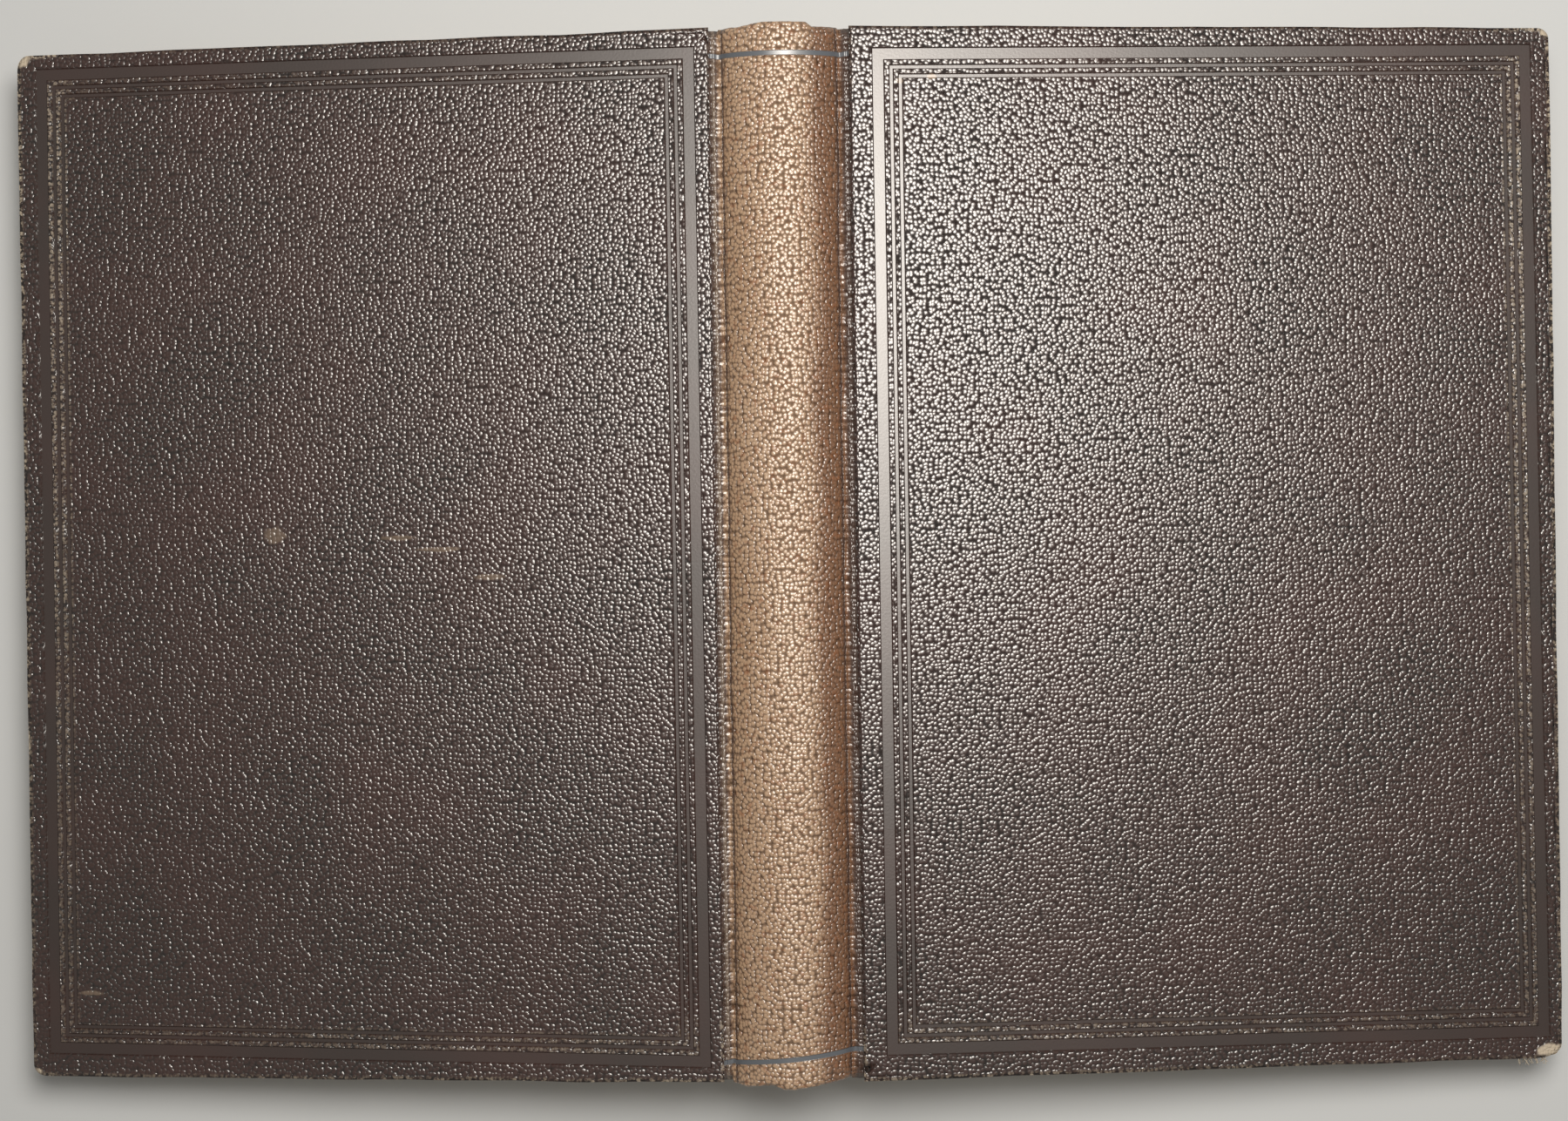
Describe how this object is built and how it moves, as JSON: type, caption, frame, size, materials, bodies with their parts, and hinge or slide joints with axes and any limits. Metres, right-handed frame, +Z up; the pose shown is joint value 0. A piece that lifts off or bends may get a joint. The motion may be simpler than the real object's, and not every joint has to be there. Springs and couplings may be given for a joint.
{
  "type": "antique cloth-covered book",
  "caption": "Old case-bound book lying open face down: grained cloth covers that lift at their joints, a hollow-back spine and sewn leaves.",
  "frame": {"origin": "under the middle of the open book, on the surface that its pages lie on", "axes": "+X across to the fore-edge of the front cover, +Y up the spine to the head, +Z up out of the covers"},
  "size_m": [0.285, 0.1908, 0.0287],
  "materials": {
    "cover_cloth": "pebble-grained starched book cloth, dark brown, worn at the corners",
    "faded_cloth": "the same cloth faded to tan along the spine",
    "board_card": "dense strawboard",
    "grey_card": "thin grey card",
    "page_paper": "aged book paper",
    "endpaper": "aged plain endpaper",
    "lining_paper": "brown paper, glued",
    "mull": "open cotton scrim, glued",
    "band_silk": "woven band, faded",
    "hemp_cord": "twisted hemp"
  },
  "bodies": {
    "book_block": {"pages": "page_paper", "sewing_cord_head": "hemp_cord", "sewing_cord_middle": "hemp_cord", "sewing_cord_tail": "hemp_cord", "spine_mull": "mull", "spine_lining": "lining_paper", "head_band": "band_silk", "tail_band": "band_silk", "spine_stiffener": "grey_card", "spine_cloth": "faded_cloth", "front_flyleaf": "endpaper", "back_flyleaf": "endpaper"},
    "front_cover": {"front_board": "board_card", "front_cover_cloth": "cover_cloth", "front_pastedown": "endpaper", "front_mull_flange": "mull"},
    "back_cover": {"back_board": "board_card", "back_cover_cloth": "cover_cloth", "back_pastedown": "endpaper", "back_mull_flange": "mull"}
  },
  "joints": [
    {"name": "front_joint", "type": "hinge", "parent": "book_block", "child": "front_cover", "pos_m": [0.0114, 0, 0.02395], "axis": [0, -1, 0], "range_deg": [0, 95]},
    {"name": "back_joint", "type": "hinge", "parent": "book_block", "child": "back_cover", "pos_m": [-0.0114, 0, 0.02395], "axis": [0, 1, 0], "range_deg": [0, 95]}
  ]
}
